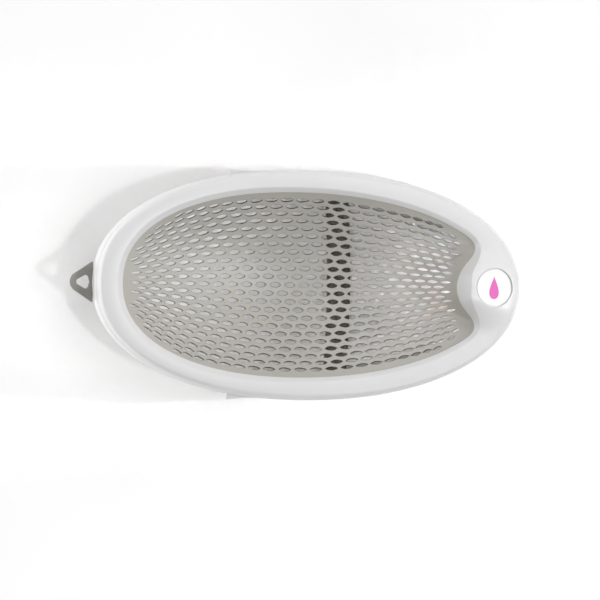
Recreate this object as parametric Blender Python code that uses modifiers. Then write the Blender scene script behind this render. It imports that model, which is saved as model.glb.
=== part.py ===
"""Reclined bath support for a newborn: a raised oval rim holds a soft dished net over two side legs.

Metres, +Z up. +X points from the head end to the foot end, and the seat is symmetric about y = 0.
The origin is on the floor, under the middle of the bounding box. Everything that touches keeps a
gap of 0.3 mm.
"""
import math

import bmesh
import bpy
from mathutils import Matrix, Vector

# --- driving dimensions ------------------------------------------------------------------------
CLEARANCE = 0.0003        # gap between touching pieces
STATIONS = 100            # sections around the rim

OUTLINE_CENTRE = 0.0159   # where the rim's outline is widest
OUTLINE_REACH = 0.3165    # from there to the head end and to the foot end
OUTLINE_HALF_WIDTH = 0.1725
OUTLINE_POWERS = (2.18, 2.09)      # roundness of the head half and of the foot half

NET_CENTRE = 0.0045
NET_REACHES = (0.2595, 0.2960)     # towards the head, towards the foot
NET_HALF_WIDTH = 0.1375
NET_POWERS = (2.24, 2.0)
NET_HUB = 0.0507           # point inside the net that every section's plane passes through
OVAL_SCALE = 0.23         # makes the oval's measure comparable with a distance

RIM_LOW = 0.070           # the rim's top line is a hyperbola between two straight slopes
RIM_BEND_X = 0.0357
RIM_BEND_REACH = 0.120
RIM_HEAD_SLOPE = 0.42
RIM_FOOT_SLOPE = 0.10

WALL = 0.0028             # moulded wall of the rim and the legs
LIP_WIDTH = 0.0070        # slope from the rim's crest down to the net
LIP_DROP = 0.0080
LIP_HEAD_EXTRA = 0.0022   # the lip is wider behind the head
RAIL_WIDTH = 0.0110       # solid rail under the lip that takes the clamp screws
RAIL_BACK = 0.0045        # the rail's back slopes up to the underside of the top
END_SHOULDER = 0.0036     # rounding from the flat top to the outer wall, tight at the ends
END_SHOULDER_DROP = 0.0042
SIDE_SHOULDER = 0.0100    # and wider along the sides
SIDE_SHOULDER_DROP = 0.0120
SKIRT_DROP = 0.0350
SKIRT_DRAFT = 0.0016
TOP_CAMBER = 0.0006       # the top stands this much above a straight line across it

HUMP_X = 0.2362           # net edge in front of the hump, on the centre line
HUMP_CURVE = 11.1         # the hump's edge is a parabola: x = HUMP_X + HUMP_CURVE * y * y
HUMP_HALF_WIDTH = 0.070
HUMP_START = 0.15         # the hump grows out of the rim between here and HUMP_START + HUMP_GROWTH
HUMP_GROWTH = 0.05
HUMP_HEIGHT = 0.028
HUMP_LIP_EXTRA = 0.0153
HUMP_EDGE_RAISE = 0.005
BOSS_HALF_WIDTH = 0.066   # the hump's raised top, level across the badge and falling over BOSS_FALL
BOSS_FALL = 0.044
BOSS_CAMBER = 0.0008
BOSS_SKIN = 1.6           # extra thickness under the badge, in walls
TIP_ROUNDING = 0.027      # blend between the oval and the hump's edge

NET_THICKNESS = 0.0024
NET_SAG = 0.055
NET_RINGS = 9
NET_FLANGE = 0.0052       # border of the net held under the rim
RISER_SLOPE = 1.35        # the net climbs to the hump at this slope
CREASE_BLEND = 0.005
CLAMP_SETBACK = 0.0012    # the clamp ring stays behind the net's visible border
CLAMP_DEPTH = 0.0055
CLAMP_SCREWS = 10
CLAMP_SCREW_BITE = 0.0040
SCREW_RADIUS = 0.0015
SCREW_HEAD_RADIUS = 0.0030
SCREW_HEAD_HEIGHT = 0.0018

BADGE_X = 0.2912          # centre of the round badge on the hump
BADGE_RADIUS = 0.0270
BADGE_THICKNESS = 0.0014
BADGE_RECESS = 0.0048     # depth of the recess the disc lies in
BADGE_MARGIN = 0.0015     # the recess is this much wider all round

LEG_HEAD_X = -0.1038       # the legs hang from the rim between these two places
LEG_FOOT_X = 0.2577
LEG_RAKE = 0.022          # the leg's ends lean in by this much towards the floor
LEG_SECTIONS = 15
LEG_CROWDING = 1.3        # sections stand closer together towards the head end
LEG_TONGUE_TOP = 0.0200   # the tongue inside the skirt starts this far under the rim's line
LEG_TONGUE_TAPER = 0.0008
LEG_HOLLOW = 0.3          # the flare is hollowed by this share of it, LEG_HOLLOW_PART of the way down
LEG_HOLLOW_PART = 0.25
LEG_INSET = 0.0060        # the leg's wall at the floor, in from the skirt
LEG_FLARE = 0.0095        # the head-side corner of the leg stands out past the skirt
FLARE_LENGTH = 0.055
FOOT_FLANGE = 0.030
PAD_HEIGHT = 0.0060
PAD_LENGTH = 0.046
PAD_WIDTH = 0.016
PAD_PLACES = (0.09, 0.91)  # along the leg
PAD_ROUNDING = 0.0012

BEAM_X = 0.0612           # the ribbed cross beam under the lowest part of the net
BEAM_WIDTH = 0.040
BEAM_HEIGHT = 0.017
BEAM_WALL = 0.0022
RUBBER_THICKNESS = 0.0030
RUBBER_RIBS = 3
RIB_RISE = 0.0040
RIB_ROOT = 0.0015         # half thickness of a rib at its root and at its tip
RIB_TIP = 0.0008
RIB_PLATE = 0.38          # half width of the flat round a rib, as a share of the ribs' pitch
RUBBER_SHARE = 0.88       # length of the rubber strip as a share of the beam's
BEAM_HALF_LENGTH = 0.1580
BEAM_BOW = 0.0060
BEAM_SECTIONS = 13
BEAM_SCREW_Y = 0.1480
BEAM_SCREW_SHARE = 0.25   # the screws stand this share of the beam's width off its middle
SCREW_TIP_REACH = 0.0020  # the shanks stand out past what they hold

LOOP_WIDTH = 0.0590       # rubber hanging loop at the head end
LOOP_LENGTH = 0.0362
LOOP_THICKNESS = 0.0040
LOOP_TIP_RADIUS = 0.0149
LOOP_ROOT = 0.0038        # the loop's hinge line lies this far under the skirt
LOOP_HOLE_RADIUS = 0.0046
LOOP_HOLE_TIP = 0.0224
LOOP_HOLE_BASE = 0.0108
LOOP_HOLE_HALF = 0.0052
LOOP_NOSE_RADIUS = 0.0016  # the anchor's round nose that the loop turns about
LOOP_NECK = 0.0014
ANCHOR_WIDTH = 0.040
ANCHOR_FOOT = 0.0185      # the anchor's base under the rim, from the hinge inwards
ANCHOR_WEB = (0.0052, 0.0062)      # outer face of its web, at the bottom and where it meets the skirt
ANCHOR_BEND = 0.0130      # its top then climbs towards the rim's underside in two slopes
ANCHOR_ROOF_GAPS = (0.0165, 0.0072, 0.0052)   # its top stays this far under the rim's line

WHITE = (0.86, 0.87, 0.87, 1.0)
NET_GREY = (0.48, 0.47, 0.43, 1.0)
DARK_GREY = (0.22, 0.215, 0.205, 1.0)
STEEL = (0.62, 0.63, 0.64, 1.0)


# --- scene helpers -----------------------------------------------------------------------------
def fresh_collection(name):
    collection = bpy.data.collections.new(name)
    bpy.context.scene.collection.children.link(collection)
    return collection


def clear_scene():
    for item in list(bpy.data.objects):
        bpy.data.objects.remove(item, do_unlink=True)


def make_material(name, colour, roughness, metallic=0.0):
    material = bpy.data.materials.new(name)
    material.use_nodes = True
    shader = material.node_tree.nodes["Principled BSDF"]
    shader.inputs["Base Color"].default_value = colour
    shader.inputs["Roughness"].default_value = roughness
    shader.inputs["Metallic"].default_value = metallic
    return material


def finish_piece(name, mesh, colour, roughness, metallic=0.0, origin=None):
    """Make an object of a bmesh, in the seat's collection, with its own material."""
    bmesh.ops.recalc_face_normals(mesh, faces=mesh.faces)
    if origin is not None:
        bmesh.ops.translate(mesh, verts=mesh.verts, vec=-origin)
    data = bpy.data.meshes.new(name)
    mesh.to_mesh(data)
    mesh.free()
    data.shade_smooth()
    data.set_sharp_from_angle(angle=math.radians(32))
    data.materials.append(make_material(name, colour, roughness, metallic))
    piece = bpy.data.objects.new(name, data)
    if origin is not None:
        piece.location = origin
    PARTS.objects.link(piece)
    return piece


def loft(loops, closed=False):
    """Skin a row of closed loops. An open row gets a cap at each end, a closed one meets itself."""
    mesh = bmesh.new()
    rows = [[mesh.verts.new(point) for point in loop] for loop in loops]
    following = rows[1:] + rows[:1] if closed else rows[1:]
    for near, far in zip(rows, following):
        for i in range(len(near)):
            j = (i + 1) % len(near)
            mesh.faces.new((near[i], near[j], far[j], far[i]))
    if not closed:
        mesh.faces.new(rows[0])
        mesh.faces.new(rows[-1])
    return mesh


def add_cutter(name, mesh):
    data = bpy.data.meshes.new(name)
    bmesh.ops.recalc_face_normals(mesh, faces=mesh.faces)
    mesh.to_mesh(data)
    mesh.free()
    cutter = bpy.data.objects.new(name, data)
    cutter.hide_render = True
    cutter.display_type = "WIRE"
    CUTTERS.objects.link(cutter)
    return cutter


def cut(piece, cutter):
    modifier = piece.modifiers.new("cut_" + cutter.name, "BOOLEAN")
    modifier.operation = "DIFFERENCE"
    modifier.object = cutter


def cylinder(radius, depth, place, axis, sides=16, into=None):
    """A closed cylinder centred on place, its axis along the given direction."""
    mesh = into or bmesh.new()
    turn = axis.to_track_quat("Z", "Y").to_matrix().to_4x4()
    bmesh.ops.create_cone(
        mesh, cap_ends=True, segments=sides, radius1=radius, radius2=radius, depth=depth,
        matrix=Matrix.Translation(place) @ turn)
    return mesh


def smooth_step(t):
    t = min(max(t, 0.0), 1.0)
    return t * t * (3.0 - 2.0 * t)


def smooth_max(a, b, blend):
    overlap = max(blend - abs(a - b), 0.0) / blend
    return max(a, b) + overlap * overlap * blend / 4.0


# --- the rim's line and outline ----------------------------------------------------------------
def rim_line(x):
    """Height of the rim's top line."""
    t = x - RIM_BEND_X
    bend = math.hypot(t, RIM_BEND_REACH)
    return RIM_LOW + 0.5 * RIM_HEAD_SLOPE * (bend - t) + 0.5 * RIM_FOOT_SLOPE * (bend + t)


def rim_up(x):
    """Unit normal of the rim's top line, in the plane of symmetry."""
    t = x - RIM_BEND_X
    lean = t / math.hypot(t, RIM_BEND_REACH)
    slope = 0.5 * RIM_HEAD_SLOPE * (lean - 1.0) + 0.5 * RIM_FOOT_SLOPE * (lean + 1.0)
    return Vector((-slope, 0.0, 1.0)).normalized()


def above_rim(x, y, rise):
    """The point that is rise above the rim's top line, measured square to it."""
    return Vector((x, y, rim_line(x))) + rim_up(x) * rise


def outline(angle):
    """The lower edge of the rim's skirt, seen from above."""
    c, s = math.cos(angle), math.sin(angle)
    power = OUTLINE_POWERS[1] if c > 0.0 else OUTLINE_POWERS[0]
    x = OUTLINE_CENTRE + OUTLINE_REACH * math.copysign(abs(c) ** (2.0 / power), c)
    y = OUTLINE_HALF_WIDTH * math.copysign(abs(s) ** (2.0 / power), s)
    return Vector((x, y, 0.0))


def outline_normal(angle):
    along = outline(angle + 0.002) - outline(angle - 0.002)
    return Vector((along.y, -along.x, 0.0)).normalized()


def oval(x, y):
    """1 on the net's oval border, 0 at its centre."""
    side = 1 if x > NET_CENTRE else 0
    power = NET_POWERS[side]
    along = abs((x - NET_CENTRE) / NET_REACHES[side]) ** power
    return (along + abs(y / NET_HALF_WIDTH) ** power) ** (1.0 / power)


def hump_distance(x, y):
    """Distance past the hump's edge, negative on the net."""
    return (x - HUMP_X - HUMP_CURVE * y * y) / math.hypot(1.0, 2.0 * HUMP_CURVE * y)


def net_field(x, y):
    """Negative on the net, zero on its visible border."""
    return smooth_max((oval(x, y) - 1.0) * OVAL_SCALE, hump_distance(x, y), TIP_ROUNDING)


def net_border(direction):
    """The border point in a direction from the hub, and the border's outward normal there."""
    near, far = 0.0, 0.45
    for _ in range(48):
        middle = 0.5 * (near + far)
        inside = net_field(NET_HUB + direction.x * middle, direction.y * middle) < 0.0
        near, far = (middle, far) if inside else (near, middle)
    x, y = NET_HUB + direction.x * near, direction.y * near
    step = 1e-4
    normal = Vector((net_field(x + step, y) - net_field(x - step, y),
                     net_field(x, y + step) - net_field(x, y - step), 0.0))
    return Vector((x, y, 0.0)), normal.normalized()


class Station:
    """One section around the seat: where the net ends, where the rim ends and how high they are."""

    def __init__(self, angle):
        self.skirt = outline(angle)
        self.outward = outline_normal(angle)
        direction = (self.skirt - Vector((NET_HUB, 0.0, 0.0))).normalized()
        self.edge, self.normal = net_border(direction)
        near_foot = smooth_step((self.edge.x - HUMP_START) / HUMP_GROWTH)
        self.hump = near_foot * smooth_step(1.0 - abs(self.edge.y) / HUMP_HALF_WIDTH)
        self.boss = near_foot * smooth_step((BOSS_HALF_WIDTH - abs(self.edge.y)) / BOSS_FALL)
        self.head = max(0.0, -math.cos(angle))
        self.lip_width = LIP_WIDTH + HUMP_LIP_EXTRA * self.hump + LIP_HEAD_EXTRA * self.head
        self.edge_rise = HUMP_EDGE_RAISE * self.hump - LIP_DROP
        self.crest_rise = HUMP_HEIGHT * self.boss
        side = math.sin(angle) ** 2
        self.shoulder = END_SHOULDER + (SIDE_SHOULDER - END_SHOULDER) * side
        self.shoulder_drop = END_SHOULDER_DROP + (SIDE_SHOULDER_DROP - END_SHOULDER_DROP) * side

    def from_edge(self, out, rise):
        """A point measured from the net's visible border: outwards, and square to the rim's line."""
        place = self.edge + self.normal * out
        shifted = place.x - rim_up(place.x).x * self.edge_rise
        return above_rim(shifted, place.y, rise)

    def from_skirt(self, out, rise):
        """A point measured from the outer wall: outwards, and square to the rim's line."""
        top = self.skirt + self.outward * out
        shifted = top.x + rim_up(top.x).x * SKIRT_DROP
        return above_rim(shifted, top.y, rise)


def top_point(station, part):
    """A point on the rim's top, a share of the way from the lip's crest to the shoulder."""
    start = station.from_edge(station.lip_width, station.crest_rise)
    finish = station.from_skirt(-station.shoulder - SKIRT_DRAFT, 0.0)
    camber = (TOP_CAMBER + BOSS_CAMBER * station.boss) * math.sin(math.pi * part)
    return start.lerp(finish, part) + Vector((0.0, 0.0, camber))


def shoulder_point(station, bearing, inset):
    """A point on the rounding outside the top, 0 at the top and 90 degrees at the outer wall."""
    out = (station.shoulder - inset) * (1.0 - math.sin(bearing)) + SKIRT_DRAFT + inset
    drop = (station.shoulder_drop - inset) * (1.0 - math.cos(bearing))
    return station.from_skirt(-out, -drop - inset * (math.cos(bearing) + math.sin(bearing) ** 2))


def rim_section(station):
    """The rim's moulded section: over the lip, the top and the skirt, and back underneath."""
    skin = WALL * (1.0 + BOSS_SKIN * station.boss)
    crest = station.crest_rise
    inner = [station.from_edge(0.0, station.edge_rise), top_point(station, 0.0)]
    top = [top_point(station, part) for part in (0.25, 0.5, 0.75)]
    outer = [shoulder_point(station, math.radians(bearing), 0.0) for bearing in (0.0, 30.0, 60.0, 90.0)]
    outer.append(station.from_skirt(0.0, -SKIRT_DROP))
    under = [station.from_skirt(-WALL, -SKIRT_DROP),
             shoulder_point(station, math.radians(90.0), WALL),
             shoulder_point(station, math.radians(45.0), WALL),
             top_point(station, 1.0) - Vector((0.0, 0.0, skin))]
    roof = [point - Vector((0.0, 0.0, skin)) for point in reversed(top)]
    rail = [station.from_edge(station.lip_width + RAIL_BACK, crest - skin),
            station.from_edge(RAIL_WIDTH, station.edge_rise)]
    return inner + top + outer + under + roof + rail


def make_rim(stations):
    mesh = loft([rim_section(station) for station in stations], closed=True)
    return finish_piece("rim_frame", mesh, WHITE, 0.32)


# --- the net and its clamp ring ----------------------------------------------------------------
def net_height(x, y):
    """The net's upper surface: a bowl hung from the rim's line, and the climb to the hump."""
    line = rim_line(x) - LIP_DROP
    bowl = line - NET_SAG * (1.0 - oval(x, y) ** 2)
    weight = smooth_step(1.0 - abs(y) / HUMP_HALF_WIDTH)
    riser = line + HUMP_EDGE_RAISE * weight + RISER_SLOPE * hump_distance(x, y)
    return smooth_max(bowl, riser, CREASE_BLEND)


def net_thickness(x, y):
    """Vertical thickness that leaves the sheet equally thick square to its surface."""
    step = 5e-4
    run_x = (net_height(x + step, y) - net_height(x - step, y)) / (2.0 * step)
    run_y = (net_height(x, y + step) - net_height(x, y - step)) / (2.0 * step)
    return NET_THICKNESS * math.sqrt(1.0 + run_x * run_x + run_y * run_y)


def make_net(stations):
    upper, lower = [], []
    hub = Vector((NET_HUB, 0.0, 0.0))
    for ring in range(1, NET_RINGS + 1):
        part = ring / NET_RINGS
        top_loop, bottom_loop = [], []
        for station in stations:
            edge = station.from_edge(0.0, station.edge_rise - CLEARANCE)
            flat = hub.lerp(Vector((edge.x, edge.y, 0.0)), part)
            lift = edge.z - net_height(edge.x, edge.y)
            top = net_height(flat.x, flat.y) + lift * part ** 4
            thickness = NET_THICKNESS if ring == NET_RINGS else net_thickness(flat.x, flat.y)
            top_loop.append(Vector((flat.x, flat.y, top)))
            bottom_loop.append(Vector((flat.x, flat.y, top - thickness)))
        upper.append(top_loop)
        lower.append(bottom_loop)
    flange_top = [s.from_edge(NET_FLANGE, s.edge_rise - CLEARANCE) for s in stations]
    flange_bottom = [s.from_edge(NET_FLANGE, s.edge_rise - CLEARANCE - NET_THICKNESS) for s in stations]
    mesh = loft(upper + [flange_top, flange_bottom] + lower[::-1])
    return finish_piece("seat_net", mesh, NET_GREY, 0.55)


def clamp_section(station):
    low = station.edge_rise - CLAMP_DEPTH
    shelf = station.edge_rise - NET_THICKNESS - 2.0 * CLEARANCE
    seat = station.edge_rise - CLEARANCE
    wall = NET_FLANGE + CLEARANCE
    return [station.from_edge(CLAMP_SETBACK, shelf), station.from_edge(wall, shelf),
            station.from_edge(wall, seat), station.from_edge(RAIL_WIDTH, seat),
            station.from_edge(RAIL_WIDTH, low), station.from_edge(CLAMP_SETBACK, low)]


def screw_mesh(name, length):
    """A pan-head screw as a turned profile: the head below z = 0, the shank above it."""
    corners = [(0.0, length), (SCREW_RADIUS, length), (SCREW_RADIUS, 0.0), (SCREW_HEAD_RADIUS, 0.0),
               (SCREW_HEAD_RADIUS, -0.7 * SCREW_HEAD_HEIGHT), (0.7 * SCREW_HEAD_RADIUS, -SCREW_HEAD_HEIGHT),
               (0.0, -SCREW_HEAD_HEIGHT)]
    data = bpy.data.meshes.new(name)
    edges = [(i, i + 1) for i in range(len(corners) - 1)]
    data.from_pydata([(x, 0.0, z) for x, z in corners], edges, [])
    data.materials.append(make_material(name, STEEL, 0.35, 1.0))
    return data


def make_screw(name, data, place, axis):
    """A screw whose head bears at place, with its shank along axis."""
    screw = bpy.data.objects.new(name, data)
    screw.location = place
    screw.rotation_mode = "QUATERNION"
    screw.rotation_quaternion = axis.to_track_quat("Z", "Y")
    turn = screw.modifiers.new("turn", "SCREW")
    turn.steps = turn.render_steps = 12
    turn.use_merge_vertices = True
    turn.merge_threshold = 0.00001
    turn.use_smooth_shade = False
    PARTS.objects.link(screw)


def clamp_screw_seats(stations):
    """Where the clamp ring's screws bear on it, and their axes."""
    pitch = STATIONS // CLAMP_SCREWS
    seats = []
    for number in range(CLAMP_SCREWS):
        station = stations[number * pitch + pitch // 2]
        out = 0.5 * (NET_FLANGE + RAIL_WIDTH)
        place = station.from_edge(out, station.edge_rise - CLAMP_DEPTH - CLEARANCE)
        seats.append((place, rim_up(place.x)))
    return seats


def make_clamp(stations, rim):
    clamp = finish_piece("net_clamp_ring", loft([clamp_section(s) for s in stations], closed=True),
                         WHITE, 0.4)
    seats = clamp_screw_seats(stations)
    holes = bmesh.new()
    reach = CLAMP_DEPTH + CLAMP_SCREW_BITE
    for place, axis in seats:
        depth = reach + SCREW_TIP_REACH
        cylinder(SCREW_RADIUS + CLEARANCE, depth, place + axis * (0.5 * reach), axis, 12, holes)
    cutter = add_cutter("clamp_screw_holes", holes)
    cut(rim, cutter)
    cut(clamp, cutter)
    data = screw_mesh("clamp_screw", reach)
    for number, (place, axis) in enumerate(seats, start=1):
        make_screw(f"clamp_screw_{number}", data, place, axis)


# --- the badge on the hump ---------------------------------------------------------------------
def make_badge(rim):
    middle = Station(0.0)
    crest, shoulder = top_point(middle, 0.0), top_point(middle, 1.0)
    along = (shoulder - crest).normalized()
    axis = Vector((-along.z, 0.0, along.x))
    face = top_point(middle, (BADGE_X - crest.x) / (shoulder.x - crest.x))
    depth = 4.0 * BADGE_RECESS
    middle_of_recess = face + axis * (0.5 * depth - BADGE_RECESS)
    recess = cylinder(BADGE_RADIUS + BADGE_MARGIN, depth, middle_of_recess, axis, 48)
    cut(rim, add_cutter("badge_recess", recess))
    centre = face + axis * (0.5 * BADGE_THICKNESS - BADGE_RECESS + CLEARANCE)
    disc = cylinder(BADGE_RADIUS, BADGE_THICKNESS, centre, axis, 48)
    return finish_piece("badge_disc", disc, WHITE, 0.25)


# --- the side legs -----------------------------------------------------------------------------
def outline_angle(x):
    """The outline's angle at a given x, on the side of positive y."""
    power = OUTLINE_POWERS[1] if x > OUTLINE_CENTRE else OUTLINE_POWERS[0]
    share = (abs(x - OUTLINE_CENTRE) / OUTLINE_REACH) ** (0.5 * power)
    return math.acos(math.copysign(share, x - OUTLINE_CENTRE))


def leg_section(part):
    """The leg's wall at a share of its length: a tongue inside the skirt, the wall, a foot flange."""
    x = LEG_HEAD_X + (LEG_FOOT_X - LEG_HEAD_X) * part
    station = Station(outline_angle(x))
    flare = LEG_FLARE * max(0.0, 1.0 - (x - LEG_HEAD_X) / FLARE_LENGTH) ** 2
    rake = Vector((LEG_RAKE * (1.0 - 2.0 * part), 0.0, 0.0))
    below = -SKIRT_DROP - CLEARANCE

    def at_floor(out, height):
        place = station.skirt + station.outward * out + rake
        return Vector((place.x, place.y, height))

    tongue = -WALL - SKIRT_DRAFT - 2.0 * CLEARANCE
    brow = station.from_skirt(flare, below)
    sole = at_floor(-LEG_INSET, PAD_HEIGHT)
    brow_back = station.from_skirt(flare - WALL, below - WALL)
    sole_back = at_floor(-LEG_INSET - WALL, PAD_HEIGHT + WALL)
    hollow = station.outward * (LEG_HOLLOW * flare)
    return [station.from_skirt(tongue, -LEG_TONGUE_TOP),
            station.from_skirt(tongue + LEG_TONGUE_TAPER, below), brow,
            brow.lerp(sole, LEG_HOLLOW_PART) - hollow, sole,
            at_floor(-LEG_INSET - FOOT_FLANGE, PAD_HEIGHT),
            at_floor(-LEG_INSET - FOOT_FLANGE, PAD_HEIGHT + WALL), sole_back,
            brow_back.lerp(sole_back, LEG_HOLLOW_PART) - hollow, brow_back,
            station.from_skirt(tongue - WALL, below - WALL),
            station.from_skirt(tongue - WALL, -LEG_TONGUE_TOP)]


def mirrored(points, side):
    return [Vector((point.x, point.y * side, point.z)) for point in points]


def make_leg(name, side):
    sections = [leg_section((i / (LEG_SECTIONS - 1)) ** LEG_CROWDING) for i in range(LEG_SECTIONS)]
    return finish_piece(name, loft([mirrored(section, side) for section in sections]), WHITE, 0.35)


def make_foot_pad(name, part, side):
    """A rubber pad under the foot flange, turned to follow the leg."""
    x = LEG_HEAD_X + (LEG_FOOT_X - LEG_HEAD_X) * part
    station = Station(outline_angle(x))
    centre = station.skirt - station.outward * (LEG_INSET + 0.5 * FOOT_FLANGE)
    centre.x += LEG_RAKE * (1.0 - 2.0 * part)
    along = math.atan2(-station.outward.x, station.outward.y)
    mesh = bmesh.new()
    bmesh.ops.create_cube(mesh, size=1.0)
    height = PAD_HEIGHT - CLEARANCE
    bmesh.ops.scale(mesh, verts=mesh.verts, vec=(PAD_LENGTH, PAD_WIDTH, height))
    pad = finish_piece(name, mesh, DARK_GREY, 0.8)
    pad.location = (centre.x, centre.y * side, 0.5 * height)
    pad.rotation_euler = (0.0, 0.0, along * side)
    bevel = pad.modifiers.new("round", "BEVEL")
    bevel.width = PAD_ROUNDING
    bevel.segments = 2
    return pad


# --- the cross beam ----------------------------------------------------------------------------
def beam_loop(outline_points, y):
    """A section of the beam, moved along it. The beam bows a little towards the foot end."""
    bow = -BEAM_BOW * (y / BEAM_HALF_LENGTH) ** 2
    return [Vector((BEAM_X + bow + x, y, z)) for x, z in outline_points]


def make_beam(legs):
    half, base, wall = 0.5 * BEAM_WIDTH, PAD_HEIGHT + WALL + CLEARANCE, BEAM_WALL
    top, floor = base + BEAM_HEIGHT, base + BEAM_WALL
    channel = [(-half, base), (half, base), (half, top), (half - wall, top), (half - wall, floor),
               (-half + wall, floor), (-half + wall, top), (-half, top)]
    places = [BEAM_HALF_LENGTH * (2.0 * i / (BEAM_SECTIONS - 1) - 1.0) for i in range(BEAM_SECTIONS)]
    beam = finish_piece("cross_beam", loft([beam_loop(channel, y) for y in places]), WHITE, 0.4)

    inside = half - wall - CLEARANCE
    seat = floor + CLEARANCE
    face = seat + RUBBER_THICKNESS
    comb = [(-inside, seat), (inside, seat)]
    pitch = 2.0 * inside / RUBBER_RIBS
    for rib in range(RUBBER_RIBS, 0, -1):
        middle = -inside + pitch * (rib - 0.5)
        plate = RIB_PLATE * pitch
        comb += [(middle + plate, face), (middle + RIB_ROOT, face), (middle + RIB_TIP, face + RIB_RISE),
                 (middle - RIB_TIP, face + RIB_RISE), (middle - RIB_ROOT, face), (middle - plate, face)]
    inner_places = [y * RUBBER_SHARE for y in places]
    finish_piece("grip_strip", loft([beam_loop(comb, y) for y in inner_places]), DARK_GREY, 0.75)

    holes = bmesh.new()
    seats = []
    up = Vector((0.0, 0.0, 1.0))
    for side in (-1, 1):
        for across in (-BEAM_SCREW_SHARE, BEAM_SCREW_SHARE):
            y = side * BEAM_SCREW_Y
            bow = -BEAM_BOW * (y / BEAM_HALF_LENGTH) ** 2
            seats.append(Vector((BEAM_X + bow + across * BEAM_WIDTH, y, PAD_HEIGHT - CLEARANCE)))
            cylinder(SCREW_RADIUS + CLEARANCE, BEAM_HEIGHT, seats[-1], up, 12, holes)
    cutter = add_cutter("beam_screw_holes", holes)
    for piece in [beam] + legs:
        cut(piece, cutter)
    data = screw_mesh("beam_screw", WALL + BEAM_WALL + SCREW_TIP_REACH)
    for number, place in enumerate(seats, start=1):
        make_screw(f"beam_screw_{number}", data, place, up)


# --- the hanging loop --------------------------------------------------------------------------
def rounded_hull(circles, per_turn=40):
    """The outline around a convex row of circles (x, y, radius), counter-clockwise, arcs and lines."""
    points = []
    count = len(circles)
    bearings = []
    for i in range(count):
        x0, y0, r0 = circles[i]
        x1, y1, r1 = circles[(i + 1) % count]
        reach = math.hypot(x1 - x0, y1 - y0)
        bearings.append(math.atan2(y1 - y0, x1 - x0) - math.acos((r0 - r1) / reach))
    for i in range(count):
        x, y, radius = circles[i]
        start, end = bearings[i - 1], bearings[i]
        while end < start:
            end += 2.0 * math.pi
        steps = max(1, round(per_turn * (end - start) / (2.0 * math.pi)))
        for step in range(steps + 1):
            angle = start + (end - start) * step / steps
            points.append((x + radius * math.cos(angle), y + radius * math.sin(angle)))
    return points


def flat_plate(name, outlines, thickness, colour, roughness):
    """A flat plate with holes: a filled 2D curve made into a welded mesh, centred on its thickness."""
    curve = bpy.data.curves.new(name + "_outline", "CURVE")
    curve.dimensions = "2D"
    curve.fill_mode = "BOTH"
    curve.extrude = 0.5 * thickness
    for outline_points in outlines:
        spline = curve.splines.new("POLY")
        spline.points.add(len(outline_points) - 1)
        for slot, (x, y) in zip(spline.points, outline_points):
            slot.co = (x, y, 0.0, 1.0)
        spline.use_cyclic_u = True
    guide = bpy.data.objects.new(name + "_outline", curve)
    PARTS.objects.link(guide)
    bpy.context.view_layer.update()
    evaluated = guide.evaluated_get(bpy.context.evaluated_depsgraph_get())
    solid = bpy.data.meshes.new_from_object(evaluated)
    mesh = bmesh.new()
    mesh.from_mesh(solid)
    bmesh.ops.remove_doubles(mesh, verts=mesh.verts, dist=0.00002)
    bpy.data.objects.remove(guide)
    bpy.data.meshes.remove(solid)
    return finish_piece(name, mesh, colour, roughness)


def loop_frame():
    """The loop's hinge point under the skirt at the head end, and the rim's lean there."""
    head = Station(math.pi)
    place = head.from_skirt(0.0, -SKIRT_DROP - 2.0 * CLEARANCE - 0.5 * LOOP_THICKNESS)
    up = rim_up(place.x)
    outwards = Vector((-up.z, 0.0, up.x))
    return place - outwards * LOOP_ROOT, outwards, up


def make_loop():
    hinge, outwards, up = loop_frame()
    half = 0.5 * LOOP_WIDTH
    tip = (LOOP_LENGTH - LOOP_TIP_RADIUS, 0.0, LOOP_TIP_RADIUS)
    corner = 0.5 * LOOP_THICKNESS
    back = LOOP_NOSE_RADIUS + CLEARANCE + corner
    outer = [tip, (back, half - corner, corner), (back, corner - half, corner)]
    hole = [(LOOP_HOLE_TIP, 0.0, LOOP_HOLE_RADIUS), (LOOP_HOLE_BASE, LOOP_HOLE_HALF, LOOP_HOLE_RADIUS),
            (LOOP_HOLE_BASE, -LOOP_HOLE_HALF, LOOP_HOLE_RADIUS)]
    loop = flat_plate("hanging_loop", [rounded_hull(outer), rounded_hull(hole, 30)], LOOP_THICKNESS,
                      DARK_GREY, 0.7)
    sideways = up.cross(outwards)
    turn = Matrix((outwards, sideways, up)).transposed().to_4x4()
    loop.matrix_world = Matrix.Translation(hinge) @ turn

    half_thick = 0.5 * LOOP_THICKNESS
    roof = SKIRT_DROP + half_thick
    nose = []
    for step in range(7):
        bearing = math.pi * (step / 6.0 - 0.5)
        nose.append((LOOP_NOSE_RADIUS * math.cos(bearing), LOOP_NOSE_RADIUS * math.sin(bearing)))
    skirt_gap, bend_gap, foot_gap = ANCHOR_ROOF_GAPS
    profile = [(-LOOP_NECK, -half_thick), (-LOOP_NECK, -LOOP_NOSE_RADIUS)] + nose
    profile += [(-LOOP_NECK, LOOP_NOSE_RADIUS), (-LOOP_NECK, half_thick), (-ANCHOR_WEB[0], half_thick),
                (-ANCHOR_WEB[1], roof - skirt_gap), (-ANCHOR_BEND, roof - bend_gap),
                (-ANCHOR_FOOT, roof - foot_gap), (-ANCHOR_FOOT, -half_thick)]
    rows = []
    for y in (-0.5 * ANCHOR_WIDTH, 0.5 * ANCHOR_WIDTH):
        rows.append([hinge + outwards * out + up * rise + Vector((0.0, y, 0.0)) for out, rise in profile])
    finish_piece("loop_anchor", loft(rows), DARK_GREY, 0.7)


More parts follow.
